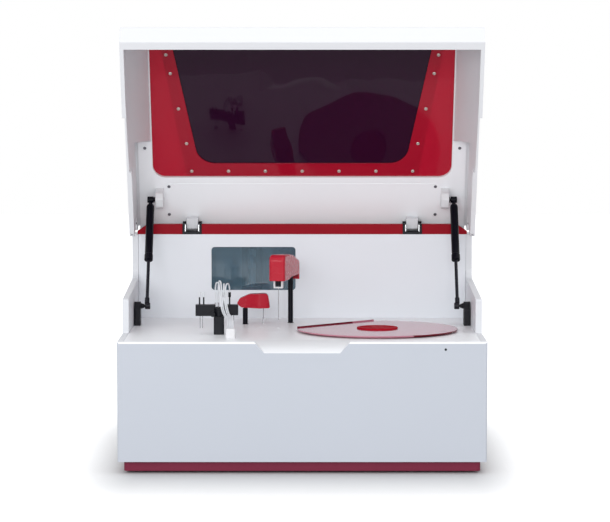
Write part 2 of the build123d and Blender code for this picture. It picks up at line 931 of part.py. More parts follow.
def tube_route(number):
    """Route of one wash tube: up from its stem or cap, over, down to the grommet."""
    x, base = tube_starts[number]
    gather = (-168.5, -165, -160.2, -156.8)[number]
    rise = (362, 365, 359, 359.5)[number]
    crest = rise + 11
    across = grommet_spot[0] - 5 + 3.4 * number
    return [
        (x, nozzle_row, base),
        (x, nozzle_row, rise),
        (x + 0.2 * (gather - x), 151, crest),
        (x + 0.8 * (gather - x), 136, crest),
        (gather, 130, rise),
        (gather + 1, 129, 340),
        (gather + 6, 118, 312),
        (across - 1, 85, 304),
        (across, grommet_spot[1], 297),
        (across, grommet_spot[1], grommet_top),
    ]


def corner_radii(points):
    """Radius of each bend: as large as its two runs allow."""
    radii = []
    for before, here, after in zip(points, points[1:], points[2:]):
        run_in = Vector(*here) - Vector(*before)
        run_out = Vector(*after) - Vector(*here)
        turn = math.radians(run_in.get_angle(run_out))
        shorter = min(run_in.length, run_out.length)
        radii.append(0.45 * shorter / math.tan(turn / 2))
    return radii


tube_starts = [(x, 331) for x in carriage_stems] + [(x, 352) for x in nozzle_columns[2:]]


def wash_tube(number):
    points = tube_route(number)
    radii = corner_radii(points)
    print("wash tube", number, "bend radii", [round(r, 1) for r in radii])
    path = FilletPolyline(*points, radius=radii)
    start = Plane(origin=points[0], z_dir=(0, 0, 1))
    tube = sweep(start * Circle(tube_radius), path=path)
    expected = math.pi * tube_radius**2 * path.length
    print("  length", round(path.length, 1), "volume ratio", round(tube.volume / expected, 3))
    return tube


def wash_tube_block():
    x, y = grommet_spot
    return round_block((x - 9.5, x + 9.5), (y - 11, y + 11), (deck_top, grommet_top), 3)


# ---------------------------------------------------------------- inside the rear
syringe_spot = (-110, 531)


def syringe_barrel():
    barrel = post(syringe_spot, (334, 416), 8.5)
    return barrel - post(syringe_spot, (333, 408), 6.5) - post(syringe_spot, (400, 417), 2)


def syringe_plunger():
    head = post(syringe_spot, (344, 350), 6.5 - running_gap)
    return head + post(syringe_spot, (290, 344), 2.5)


def syringe_drive():
    """Bracket that clamps the barrel's top and holds the plunger drive below it."""
    x, y = syringe_spot
    drive = block((x - 22, x + 22), (y + 12, y + 20), (280, 436))
    drive += block((x - 22, x + 22), (y - 12, y + 12), (280, 333.7))
    drive += block((x - 14, x + 14), (y - 12, y + 12), (416, 436))
    return drive - post(syringe_spot, (284, 335), 2.5 + running_gap)


def photometer():
    body = round_block((-329, -291), (222, 282), (196, 244), 3)
    return body + block((-349, -329), (234, 270), (200, 240))


def wash_pump():
    body = round_block((-340, -250), (64, 128), (11, 60), 5)
    return body + Pos(-295, 96, 60) * Cylinder(26, 50)


def power_supply():
    case = block((-320, -120), (400, 480), (11, 60))
    for slot in range(8):
        x = -300 + slot * 21
        case -= block((x, x + 8), (410, 470), (57, 61))
    return case


def control_board():
    board = block((-60, 150), (560, 562), (60, 240))
    chips = [((-40, 0), (100, 140)), ((20, 50), (90, 120)), ((80, 130), (150, 200)), ((-30, 20), (180, 215))]
    for x, z in chips:
        board += block(x, (555, 560), z)
    return board


fan_front, fan_back = 571, body_depth - skin
fan_hub_radius = 14


def fan_frame():
    x, z = fan_spot
    frame = block((x - 40, x + 40), (fan_front, fan_back), (z - 40, z + 40))
    frame -= through_bar(x, z, (fan_front - 1, fan_back + 1), 36)
    spokes = block((x - 37, x + 37), (fan_front, fan_front + 3), (z - 2, z + 2))
    spokes += block((x - 2, x + 2), (fan_front, fan_front + 3), (z - 37, z + 37))
    spokes += through_bar(x, z, (fan_front, fan_front + 3), 10)
    return frame + spokes + through_bar(x, z, (fan_front + 3, fan_back - 2), 2)


def fan_rotor():
    """Hub on the frame's pin with seven pitched blades."""
    x, z = fan_spot
    near, far = fan_front + 3.5, fan_back - 2
    hub = through_bar(x, z, (near, far), fan_hub_radius)
    for number in range(7):
        blade = Pos(23.2, 0, 0) * Rot(35, 0, 0) * Box(20.5, 2, 15)
        hub += Pos(x, (near + far) / 2, z) * Rot(0, 360 * number / 7, 0) * blade
    return hub - through_bar(x, z, (near - 1, far + 1), 2 + running_gap)


rocker_x = -208
rocker_axis = (593, 70)


def power_inlet():
    """Mains socket and switch well in one moulded module."""
    x, z = inlet_spot
    wide, tall = inlet_half
    back = body_depth
    module = block((x - wide, x + wide), (574, back), (z - tall, z + tall))
    module -= block((-266, -240), (580, back + 1), (z - 9, z + 9))
    module -= block((rocker_x - 8, rocker_x + 8), (580, back + 1), (z - 12, z + 12))
    for pin_x, pin_z in ((-260, z - 2), (-253, z + 2), (-246, z - 2)):
        module += block((pin_x - 1, pin_x + 1), (578, 591), (pin_z - 2.5, pin_z + 2.5))
    return module + cross_bar((rocker_x - 9, rocker_x + 9), rocker_axis, 1.5)


def power_switch():
    """Rocker on a pin, its two halves meeting at a shallow angle."""
    rocker = side_slab(
        [(586, 62, 2), (598, 59.5, 1), (596, 70, 0), (598, 80.5, 1), (586, 78, 2)],
        (rocker_x - 7.6, rocker_x + 7.6),
    )
    return rocker - cross_bar((rocker_x - 9, rocker_x + 9), rocker_axis, 1.5 + running_gap)


def fluid_port(spot):
    """Hose spigot through the rear cover, with its nut inside."""
    end = body_depth + port_reach
    spigot = through_bar(*spot, (580, body_depth), port_neck_radius)
    spigot += through_bar(*spot, (body_depth, end), port_radius)
    spigot += through_bar(*spot, (586, body_depth - skin), 8)
    return spigot - through_bar(*spot, (584, end + 1), 2)


# ---------------------------------------------------------------- write the nodes
right_panel = side_panel()
right_tube = strut_tube()
right_rod = strut_rod()
right_bracket = strut_lower_bracket()
upper_bracket = opened(strut_upper_bracket())

save("base_tray", base_tray())
save("feet", *feet())
save("chassis", chassis())
save("front_panel", front_panel())
save("status_light", status_light())
save("right_side_panel", right_panel)
save("left_side_panel", mirrored(right_panel))
save("rear_cover", rear_cover())
save("deck", deck())
save("inner_rear_wall", inner_rear_wall())
save("syringe_window", syringe_window())
save("hinge_rail", hinge_rail())
save("hinge_brackets", *[hinge_bracket(x) for x in (-hinge_x, hinge_x)])
save("strut_lower_brackets", right_bracket, mirrored(right_bracket))

save("lid_shell", opened(lid_shell()))
save("lid_red_panel", opened(lid_red_panel()))
save("lid_window", opened(lid_window()))
save("lid_inner_plate", opened(lid_inner_plate()))
save("lid_screws", *[opened(solid) for solid in lid_screws()])
save("hinge_arms", *[opened(hinge_arm(x)) for x in (-hinge_x, hinge_x)])
save("strut_upper_brackets", upper_bracket, mirrored(upper_bracket))
save("lid_buffers", *[opened(solid) for solid in lid_buffers()])

save("right_strut_tube", right_tube)
save("left_strut_tube", mirrored(right_tube))
save("right_strut_rod", right_rod)
save("left_strut_rod", mirrored(right_rod))

save("cooling_bowl", cooling_bowl())
save("carousel_motor", motor(carousel_centre, 28, (62, 118), bowl_floor, spindle_radius + running_gap))
save("carousel_rotor", carousel_rotor())
save("reagent_bottles", *[reagent_bottle(spot) for spot in bottle_spots()])
save("carousel_cover", carousel_cover())
save("cover_knob", cover_knob())

save("reaction_bowl", reaction_bowl())
save("reaction_motor", motor(reaction_centre, 24, (86, 140), reaction_floor, reaction_spindle + running_gap))
save("reaction_rotor", reaction_rotor())

save("lift_guides", lift_guide(probe_centre), lift_guide(stirrer_centre))
save("probe_post", arm_post(probe_centre, probe_cover_z[0] + 4))
save("probe_cover", probe_cover())
save("probe_needle", probe_needle())
save("needle_guard", needle_guard())
save("stirrer_post", arm_post(stirrer_centre, stirrer_cover_z[0]))
save("stirrer_cover", stirrer_cover())
save("stirrer_paddle", stirrer_paddle())

save("wash_column", wash_column())
save("wash_manifold", wash_manifold())
save("wash_nozzles", *wash_nozzles())
save("wash_tubes", *[wash_tube(number) for number in range(len(tube_starts))])
save("wash_tube_block", wash_tube_block())

save("syringe_barrel", syringe_barrel())
save("syringe_plunger", syringe_plunger())
save("syringe_drive", syringe_drive())
save("photometer", photometer())
save("wash_pump", wash_pump())
save("power_supply", power_supply())
save("control_board", control_board())
save("fan_frame", fan_frame())
save("fan_rotor", fan_rotor())
save("power_inlet", power_inlet())
save("power_switch", power_switch())
save("fluid_ports", *[fluid_port(spot) for spot in port_spots])
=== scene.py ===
import math

import bmesh
import bpy
from mathutils import Matrix, Vector


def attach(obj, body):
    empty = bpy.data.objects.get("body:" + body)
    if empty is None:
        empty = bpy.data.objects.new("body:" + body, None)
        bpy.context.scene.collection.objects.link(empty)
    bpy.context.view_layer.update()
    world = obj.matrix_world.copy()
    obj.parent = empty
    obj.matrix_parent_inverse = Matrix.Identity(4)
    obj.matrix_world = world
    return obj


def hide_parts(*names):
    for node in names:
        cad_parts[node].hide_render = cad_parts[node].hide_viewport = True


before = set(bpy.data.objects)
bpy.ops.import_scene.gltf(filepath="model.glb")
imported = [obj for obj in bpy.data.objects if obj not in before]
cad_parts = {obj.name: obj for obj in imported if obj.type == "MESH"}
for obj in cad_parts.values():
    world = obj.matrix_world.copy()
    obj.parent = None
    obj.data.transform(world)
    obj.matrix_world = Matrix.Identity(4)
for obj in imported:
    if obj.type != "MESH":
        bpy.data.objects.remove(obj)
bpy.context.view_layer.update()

# ---------------------------------------------------------------- camera and studio
# The camera stands about five metres in front of the analyzer at a little over its
# height and looks slightly down. Its distance, height and tilt come from where the
# housing's corners lie in the photograph.
camera_data = bpy.data.cameras.new("studio_camera")
camera_data.lens = 157.76
camera_data.sensor_width = 36
camera_data.shift_x = 0.0046
camera_data.shift_y = 0.0592
camera = bpy.data.objects.new("studio_camera", camera_data)
camera.location = (0, -5.6117, 0.8157)
camera.rotation_euler = (math.radians(90 - 4.956), 0, 0)
bpy.context.scene.collection.objects.link(camera)
bpy.context.scene.camera = camera
bpy.context.scene.view_settings.view_transform = "Standard"


def area_lamp(name, place, target, size, watts, tint):
    """Soft rectangular studio lamp that points at a spot on the object."""
    lamp = bpy.data.lights.new(name, "AREA")
    lamp.shape = "RECTANGLE"
    lamp.size, lamp.size_y = size
    lamp.energy = watts
    lamp.color = tint
    stand = bpy.data.objects.new(name, lamp)
    stand.location = place
    aim = Vector(target) - Vector(place)
    stand.rotation_euler = aim.to_track_quat("-Z", "Y").to_euler()
    bpy.context.scene.collection.objects.link(stand)


area_lamp("overhead_softbox", (0.7, -0.7, 3.4), (0, 0, 0.3), (3.0, 2.4), 20, (1.0, 0.995, 0.99))
area_lamp("front_softbox", (-0.6, -5.0, 1.3), (0, 0, 0.4), (3.2, 1.6), 90, (0.98, 0.99, 1.0))
area_lamp("left_softbox", (-2.6, -2.6, 1.4), (0, 0, 0.5), (1.4, 1.4), 8, (0.98, 0.99, 1.0))

studio = bpy.data.worlds.new("studio_air")
bpy.context.scene.world = studio
studio.use_nodes = True
air = studio.node_tree
air.nodes.clear()
rays = air.nodes.new("ShaderNodeLightPath")
camera_or_gloss = air.nodes.new("ShaderNodeMath")
camera_or_gloss.operation = "MAXIMUM"
seen_white = air.nodes.new("ShaderNodeMath")
seen_white.operation = "MAXIMUM"
soft_fill = air.nodes.new("ShaderNodeBackground")
soft_fill.inputs["Color"].default_value = (0.955, 0.975, 1.0, 1)
soft_fill.inputs["Strength"].default_value = 0.79
white_wall = air.nodes.new("ShaderNodeBackground")
white_wall.inputs["Color"].default_value = (1, 1, 1, 1)
choose = air.nodes.new("ShaderNodeMixShader")
sky = air.nodes.new("ShaderNodeOutputWorld")
air.links.new(rays.outputs["Is Camera Ray"], camera_or_gloss.inputs[0])
air.links.new(rays.outputs["Is Glossy Ray"], camera_or_gloss.inputs[1])
air.links.new(camera_or_gloss.outputs[0], seen_white.inputs[0])
air.links.new(rays.outputs["Is Transmission Ray"], seen_white.inputs[1])
air.links.new(seen_white.outputs[0], choose.inputs["Fac"])
air.links.new(soft_fill.outputs[0], choose.inputs[1])
air.links.new(white_wall.outputs[0], choose.inputs[2])
air.links.new(choose.outputs[0], sky.inputs["Surface"])

floor_mesh = bpy.data.meshes.new("studio_floor")
floor_mesh.from_pydata(
    [(-9, -9, -0.0002), (9, -9, -0.0002), (9, 9, -0.0002), (-9, 9, -0.0002)], [], [(0, 1, 2, 3)]
)
studio_floor = bpy.data.objects.new("studio_floor", floor_mesh)
bpy.context.scene.collection.objects.link(studio_floor)
# The floor paper is grey and, for camera rays only, glows brighter the farther it lies from the
# housing's footprint, faster at the sides: a painted shadow around the housing's foot.
paper = bpy.data.materials.new("studio_paper")
paper.use_nodes = True
paper_tree = paper.node_tree
paper_shader = paper_tree.nodes["Principled BSDF"]
paper_shader.inputs["Base Color"].default_value = (0.63, 0.63, 0.635, 1)
paper_shader.inputs["Roughness"].default_value = 0.8
paper_shader.inputs["Specular IOR Level"].default_value = 0.1
paper_shader.inputs["Emission Color"].default_value = (1, 1, 1, 1)
paper_place = paper_tree.nodes.new("ShaderNodeTexCoord")
paper_fold = paper_tree.nodes.new("ShaderNodeVectorMath")
paper_fold.operation = "ABSOLUTE"
paper_past = paper_tree.nodes.new("ShaderNodeVectorMath")
paper_past.operation = "SUBTRACT"
paper_past.inputs[1].default_value = (0.33, 0.28, 0.0)
paper_floor = paper_tree.nodes.new("ShaderNodeVectorMath")
paper_floor.operation = "MAXIMUM"
paper_floor.inputs[1].default_value = (0.0, 0.0, 0.0)
paper_sides = paper_tree.nodes.new("ShaderNodeVectorMath")
paper_sides.operation = "MULTIPLY"
paper_sides.inputs[1].default_value = (3.2, 1.0, 0.0)
paper_reach = paper_tree.nodes.new("ShaderNodeVectorMath")
paper_reach.operation = "LENGTH"
paper_painted_shadow_ramp = paper_tree.nodes.new("ShaderNodeMapRange")
paper_painted_shadow_ramp.inputs["From Min"].default_value = 0.06
paper_painted_shadow_ramp.inputs["From Max"].default_value = 0.50
paper_painted_shadow_ramp.inputs["To Max"].default_value = 0.72
paper_rays = paper_tree.nodes.new("ShaderNodeLightPath")
paper_gain = paper_tree.nodes.new("ShaderNodeMath")
paper_gain.operation = "MULTIPLY"
paper_tree.links.new(paper_place.outputs["Object"], paper_fold.inputs[0])
paper_tree.links.new(paper_fold.outputs["Vector"], paper_past.inputs[0])
paper_tree.links.new(paper_past.outputs["Vector"], paper_floor.inputs[0])
paper_tree.links.new(paper_floor.outputs["Vector"], paper_sides.inputs[0])
paper_tree.links.new(paper_sides.outputs["Vector"], paper_reach.inputs[0])
paper_tree.links.new(paper_reach.outputs["Value"], paper_painted_shadow_ramp.inputs["Value"])
paper_tree.links.new(paper_rays.outputs["Is Camera Ray"], paper_gain.inputs[0])
paper_tree.links.new(paper_painted_shadow_ramp.outputs["Result"], paper_gain.inputs[1])
paper_tree.links.new(paper_gain.outputs[0], paper_shader.inputs["Emission Strength"])
floor_mesh.materials.append(paper)


# ---------------------------------------------------------------- plinth and feet
# The analyzer stands on a low steel tray, powder-coated crimson and set back under the
# housing all round. Four rubber feet are screwed to its underside.
def rounded_copy(node, edge, segments=2, corner=35):
    """A CAD node's shape with its triangles joined into faces and its hard edges rounded."""
    shape = bmesh.new()
    shape.from_mesh(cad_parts[node].data)
    bmesh.ops.remove_doubles(shape, verts=shape.verts, dist=4e-6)
    flat = math.radians(0.6)
    bmesh.ops.dissolve_limit(shape, angle_limit=flat, verts=shape.verts, edges=shape.edges)
    mesh = bpy.data.meshes.new(node + "_finished")
    shape.to_mesh(mesh)
    shape.free()
    mesh.shade_smooth()
    piece = bpy.data.objects.new(node + "_finished", mesh)
    bpy.context.scene.collection.objects.link(piece)
    rounding = piece.modifiers.new("rounded_edges", "BEVEL")
    rounding.width = edge
    rounding.segments = segments
    rounding.limit_method = "ANGLE"
    rounding.angle_limit = math.radians(corner)
    rounding.use_clamp_overlap = True
    evening = piece.modifiers.new("flat_faces_stay_flat", "WEIGHTED_NORMAL")
    evening.weight = 100
    evening.keep_sharp = True
    return piece


def finish_piece(piece, material, body, slot, *nodes):
    """Give a piece its material, hang it on its body and hide the CAD nodes it replaces. The slot is not
    used.
    """
    piece.data.materials.clear()
    piece.data.materials.append(material)
    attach(piece, body)
    if nodes:
        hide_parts(*nodes)
    return piece


def finish_nodes(nodes, material, body, slot, edge, segments=2, corner=35):
    """Rounded copies of several CAD nodes, all in one finish."""
    for node in nodes:
        piece = rounded_copy(node, edge, segments, corner)
        finish_piece(piece, material, body, slot, node)


def second_finish(piece, material, chosen):
    """Give the faces that the test picks out a second material."""
    index = len(piece.data.materials)
    piece.data.materials.append(material)
    for face in piece.data.polygons:
        if chosen(face.center, face.normal):
            face.material_index = index


def textured(
    name, colour, roughness, grain_size, grain_height, shade=0.03, rough_spread=0.05, cloud=5.0
):
    """Surface with slow drifts of shade, uneven gloss and a fine raised grain."""
    material = bpy.data.materials.new(name)
    material.use_nodes = True
    tree = material.node_tree
    shader = tree.nodes["Principled BSDF"]
    place = tree.nodes.new("ShaderNodeTexCoord")
    drift = tree.nodes.new("ShaderNodeTexNoise")
    drift.inputs["Scale"].default_value = cloud
    drift.inputs["Detail"].default_value = 3
    tint = tree.nodes.new("ShaderNodeMapRange")
    tint.inputs["From Min"].default_value = 0.3
    tint.inputs["From Max"].default_value = 0.7
    tint.inputs["To Min"].default_value = 1 - shade
    tint.inputs["To Max"].default_value = 1 + shade / 2
    paint = tree.nodes.new("ShaderNodeMix")
    paint.data_type = "RGBA"
    paint.blend_type = "MULTIPLY"
    paint.inputs["Factor"].default_value = 1
    paint.inputs["A"].default_value = (*colour, 1)
    smear = tree.nodes.new("ShaderNodeTexNoise")
    smear.inputs["Scale"].default_value = cloud * 5
    smear.inputs["Detail"].default_value = 8
    gloss = tree.nodes.new("ShaderNodeMapRange")
    gloss.inputs["From Min"].default_value = 0.3
    gloss.inputs["From Max"].default_value = 0.7
    gloss.inputs["To Min"].default_value = max(0.02, roughness - rough_spread)
    gloss.inputs["To Max"].default_value = min(1.0, roughness + rough_spread)
    grain = tree.nodes.new("ShaderNodeTexNoise")
    grain.inputs["Scale"].default_value = 1 / grain_size
    grain.inputs["Detail"].default_value = 3
    relief = tree.nodes.new("ShaderNodeBump")
    relief.inputs["Strength"].default_value = 0.5
    relief.inputs["Distance"].default_value = grain_height
    for texture in (drift, smear, grain):
        tree.links.new(place.outputs["Object"], texture.inputs["Vector"])
    tree.links.new(drift.outputs["Fac"], tint.inputs["Value"])
    tree.links.new(tint.outputs["Result"], paint.inputs["B"])
    tree.links.new(paint.outputs["Result"], shader.inputs["Base Color"])
    tree.links.new(smear.outputs["Fac"], gloss.inputs["Value"])
    tree.links.new(gloss.outputs["Result"], shader.inputs["Roughness"])
    tree.links.new(grain.outputs["Fac"], relief.inputs["Height"])
    tree.links.new(relief.outputs["Normal"], shader.inputs["Normal"])
    return material


def shine(material, **settings):
    """Set plain sockets of a material's shader, such as Metallic or Coat_Weight."""
    shader = material.node_tree.nodes["Principled BSDF"]
    for socket, value in settings.items():
        shader.inputs[socket.replace("_", " ")].default_value = value
    return material


crimson_coat = textured("crimson_powder_coat", (0.215, 0.027, 0.058), 0.5, 0.0007, 0.00005, 0.06)
shine(crimson_coat, Specular_IOR_Level=0.12)
foot_rubber = textured("foot_rubber", (0.012, 0.012, 0.014), 0.75, 0.0009, 0.00008)
shine(foot_rubber, Specular_IOR_Level=0.25)
finish_nodes(["base_tray"], crimson_coat, "housing", "crimson_tray", 0.0012)
finish_nodes(["feet"], foot_rubber, "housing", "rubber_black", 0.001)


# ---------------------------------------------------------------- housing covers
# Front, side and rear covers are moulded in a cool white with a very fine texture. They
# butt against each other with narrow joints. The rear cover is held by crosshead screws.
def turned(name, profile, segments=32):
    """Mesh object turned about Z from (radius, height) pairs, lowest first."""
    shape = bmesh.new()
    rings = []
    for radius, height in profile:
        if radius < 1e-7:
            rings.append([shape.verts.new((0, 0, height))])
            continue
        angles = [math.tau * step / segments for step in range(segments)]
        ring = [(radius * math.cos(a), radius * math.sin(a), height) for a in angles]
        rings.append([shape.verts.new(spot) for spot in ring])
    for low, high in zip(rings, rings[1:]):
        for step in range(segments):
            after = (step + 1) % segments
            corners = [low[step % len(low)], low[after % len(low)]]
            corners += [high[after % len(high)], high[step % len(high)]]
            unique = list(dict.fromkeys(corners))
            if len(unique) > 2:
                shape.faces.new(unique)
    if len(rings[0]) > 1:
        shape.faces.new(rings[0][::-1])
    if len(rings[-1]) > 1:
        shape.faces.new(rings[-1])
    mesh = bpy.data.meshes.new(name)
    shape.to_mesh(mesh)
    shape.free()
    mesh.shade_smooth()
    piece = bpy.data.objects.new(name, mesh)
    bpy.context.scene.collection.objects.link(piece)
    return piece


def crosshead_screw(name, radius, height):
    """Dome-headed screw, +Z outwards, with a cross recess pressed into the dome."""
    steps = 14
    shank = radius * 0.55
    profile = [(shank, -height * 1.2), (shank, 0), (radius * 0.94, 0), (radius, height * 0.14)]
    for step in range(steps + 1):
        share = 1 - step / steps
        dome = 0.3 + 0.7 * math.sqrt(1 - share * share * 0.99)
        profile.append((radius * 0.97 * share, height * dome))
    screw = turned(name, profile, 48)
    arm, slot = radius * 0.6, radius * 0.13
    for vertex in screw.data.vertices:
        across, along = abs(vertex.co.x), abs(vertex.co.y)
        in_cross = max(across, along) < arm and min(across, along) < slot
        if in_cross and vertex.co.z > height * 0.4:
            vertex.co.z -= height * 0.55
    return screw


def repeater():
    """Node group that sets a unit at every point, headed as the point's attribute says."""
    group = bpy.data.node_groups.new("repeat_at_spots", "GeometryNodeTree")
    sockets = [("Spots", "Geometry"), ("Unit", "Object"), ("Turn Spread", "Float")]
    sockets += [("Size Spread", "Float"), ("Seed", "Int"), ("Finish", "Material")]
    for label, kind in sockets:
        group.interface.new_socket(name=label, in_out="INPUT", socket_type="NodeSocket" + kind)
    group.interface.new_socket(name="Pieces", in_out="OUTPUT", socket_type="NodeSocketGeometry")
    nodes, link = group.nodes, group.links.new
    given = nodes.new("NodeGroupInput")
    unit = nodes.new("GeometryNodeObjectInfo")
    heading = nodes.new("GeometryNodeInputNamedAttribute")
    heading.data_type = "FLOAT_VECTOR"
    heading.inputs["Name"].default_value = "heading"
    place = nodes.new("GeometryNodeInstanceOnPoints")
    size = nodes.new("FunctionNodeRandomValue")
    smallest = nodes.new("ShaderNodeMath")
    smallest.operation = "SUBTRACT"
    smallest.inputs[0].default_value = 1
    turn = nodes.new("FunctionNodeRandomValue")
    opposite = nodes.new("ShaderNodeMath")
    opposite.operation = "MULTIPLY"
    opposite.inputs[1].default_value = -1
    about_z = nodes.new("ShaderNodeCombineXYZ")
    rotate = nodes.new("GeometryNodeRotateInstances")
    rotate.inputs["Local Space"].default_value = True
    realize = nodes.new("GeometryNodeRealizeInstances")
    finish = nodes.new("GeometryNodeSetMaterial")
    made = nodes.new("NodeGroupOutput")
    link(given.outputs["Unit"], unit.inputs["Object"])
    link(given.outputs["Spots"], place.inputs["Points"])
    link(unit.outputs["Geometry"], place.inputs["Instance"])
    link(heading.outputs["Attribute"], place.inputs["Rotation"])
    link(given.outputs["Size Spread"], smallest.inputs[1])
    link(smallest.outputs[0], size.inputs[2])
    size.inputs[3].default_value = 1
    link(given.outputs["Seed"], size.inputs["Seed"])
    link(size.outputs[1], place.inputs["Scale"])
    link(given.outputs["Turn Spread"], opposite.inputs[0])
    link(opposite.outputs[0], turn.inputs[2])
    link(given.outputs["Turn Spread"], turn.inputs[3])
    link(given.outputs["Seed"], turn.inputs["Seed"])
    link(turn.outputs[1], about_z.inputs["Z"])
    link(place.outputs["Instances"], rotate.inputs["Instances"])
    link(about_z.outputs[0], rotate.inputs["Rotation"])
    link(rotate.outputs["Instances"], realize.inputs["Geometry"])
    link(realize.outputs["Geometry"], finish.inputs["Geometry"])
    link(given.outputs["Finish"], finish.inputs["Material"])
    link(finish.outputs["Geometry"], made.inputs["Pieces"])
    return group


repeat_at_spots = repeater()


def repeated(name, unit, spots, material, turn_spread=0.0, size_spread=0.0, seed=1):
    """Plain mesh object with the unit at every (place, heading) and the unit itself removed."""
    mesh = bpy.data.meshes.new(name + "_spots")
    mesh.from_pydata([place for place, _ in spots], [], [])
    headings = mesh.attributes.new("heading", "FLOAT_VECTOR", "POINT")
    for number, (_, heading) in enumerate(spots):
        headings.data[number].vector = heading
    holder = bpy.data.objects.new(name + "_holder", mesh)
    bpy.context.scene.collection.objects.link(holder)
    maker = holder.modifiers.new("repeat", "NODES")
    maker.node_group = repeat_at_spots
    given = {"Unit": unit, "Turn Spread": turn_spread, "Size Spread": size_spread}
    given.update({"Seed": seed, "Finish": material})
    for item in repeat_at_spots.interface.items_tree:
        if item.in_out == "INPUT" and item.name in given:
            maker[item.identifier] = given[item.name]
    view = bpy.context.evaluated_depsgraph_get()
    result = bpy.data.meshes.new_from_object(holder.evaluated_get(view))
    result.name = name
    piece = bpy.data.objects.new(name, result)
    bpy.context.scene.collection.objects.link(piece)
    holder.modifiers.remove(maker)
    bpy.data.objects.remove(holder)
    bpy.data.objects.remove(unit)
    return piece


mould_grain = (0.0006, 0.00003, 0.012, 0.04, 2.0)
cool_white = textured("cool_white_moulding", (0.545, 0.572, 0.628), 0.45, *mould_grain)
shine(cool_white, Specular_IOR_Level=0.3)
soft_white = textured("soft_white_moulding", (0.71, 0.72, 0.75), 0.42, *mould_grain)
front = rounded_copy("front_panel", 0.0012, 3)
finish_piece(front, cool_white, "housing", "housing_white", "front_panel")
# The front panel's upward faces, its top edge and scoop, take a lighter copy of its white: a painted
# highlight where the overhead light falls.
lit_top_white = textured("front_edge_white", (0.90, 0.91, 0.93), 0.40, *mould_grain)
second_finish(front, lit_top_white, lambda spot, facing: facing.z > 0.12)
finish_nodes(["left_side_panel", "right_side_panel"], soft_white, "housing", "housing_white", 0.0013, 3)
finish_nodes(["rear_cover"], soft_white, "housing", "housing_white", 0.0009)

plated = shine(textured("plated_screw", (0.62, 0.56, 0.52), 0.3, 0.001, 0.00002), Metallic=1)
cover_spots = [(x, z) for x in (-0.335, -0.11, 0.11, 0.335) for z in (0.045, 0.475)]
cover_spots += [(x, z) for x in (-0.335, 0.335) for z in (0.19, 0.335)]
cover_spots += [(x, z) for x in (0.205, 0.275) for z in (0.095, 0.165)]
outwards = (math.radians(-90), 0, 0)
cover_screws = repeated(
    "rear_cover_screws",
    crosshead_screw("cover_screw", 0.0036, 0.0018),
    [((x, 0.294, z), outwards) for x, z in cover_spots],
    plated,
    turn_spread=3.14,
    seed=4,
)
finish_piece(cover_screws, plated, "housing", "screw_steel")

lens = textured("status_lens", (0.02, 0.025, 0.03), 0.2, 0.002, 0.00001)
finish_nodes(["status_light"], lens, "housing", "lens_green", 0.0004)

zinc_sheet = textured("zinc_plated_sheet", (0.50, 0.52, 0.53), 0.34, 0.004, 0.00002, 0.10, 0.12, 30)
shine(zinc_sheet, Metallic=1)
finish_nodes(["chassis"], zinc_sheet, "housing", "sheet_steel", 0.0006)

# ---------------------------------------------------------------- deck and rear wall
# The work surface and the wall behind it are bent sheet, powder-coated in a warmer,
# slightly glossier white. The wall's window is tinted acrylic glued on from behind.
warm_white = textured("white_powder_coat", (0.76, 0.78, 0.82), 0.36, 0.0011, 0.00003, 0.012, 0.03, 2.4)
# The deck and the lid's inner plate take a lighter copy of this powder coat: painted light, brighter
# than the rear wall's.
lamp_lit_white = textured("deck_powder_coat", (0.925, 0.935, 0.955), 0.34, 0.0011, 0.00003, 0.012, 0.03, 2.4)
finish_nodes(["deck"], lamp_lit_white, "housing", "panel_white", 0.0006)
finish_nodes(["inner_rear_wall"], warm_white, "housing", "panel_white", 0.0006)


def acrylic(name, colour, roughness, clear, specular=0.5, wave=0.00012):
    """Cast acrylic, clear or part opaque, with faint ripples and wipe marks."""
    material = bpy.data.materials.new(name)
    material.use_nodes = True
    tree = material.node_tree
    shader = tree.nodes["Principled BSDF"]
    shader.inputs["Base Color"].default_value = (*colour, 1)
    shader.inputs["Transmission Weight"].default_value = clear
    shader.inputs["IOR"].default_value = 1.49
    shader.inputs["Specular IOR Level"].default_value = specular
    place = tree.nodes.new("ShaderNodeTexCoord")
    wipe = tree.nodes.new("ShaderNodeTexNoise")
    wipe.inputs["Scale"].default_value = 9
    wipe.inputs["Detail"].default_value = 5
    gloss = tree.nodes.new("ShaderNodeMapRange")
    gloss.inputs["From Min"].default_value = 0.35
    gloss.inputs["From Max"].default_value = 0.75
    gloss.inputs["To Min"].default_value = roughness
    gloss.inputs["To Max"].default_value = roughness + 0.03
    ripple = tree.nodes.new("ShaderNodeTexNoise")
    ripple.inputs["Scale"].default_value = 4
    relief = tree.nodes.new("ShaderNodeBump")
    relief.inputs["Distance"].default_value = wave
    for texture in (wipe, ripple):
        tree.links.new(place.outputs["Object"], texture.inputs["Vector"])
    tree.links.new(wipe.outputs["Fac"], gloss.inputs["Value"])
    tree.links.new(gloss.outputs["Result"], shader.inputs["Roughness"])
    tree.links.new(ripple.outputs["Fac"], relief.inputs["Height"])
    tree.links.new(relief.outputs["Normal"], shader.inputs["Normal"])
    return material


rear_tint = acrylic("rear_window_tint", (0.28, 0.43, 0.53), 0.03, 0.8)
finish_nodes(["syringe_window"], rear_tint, "housing", "tinted_window", 0.0004)

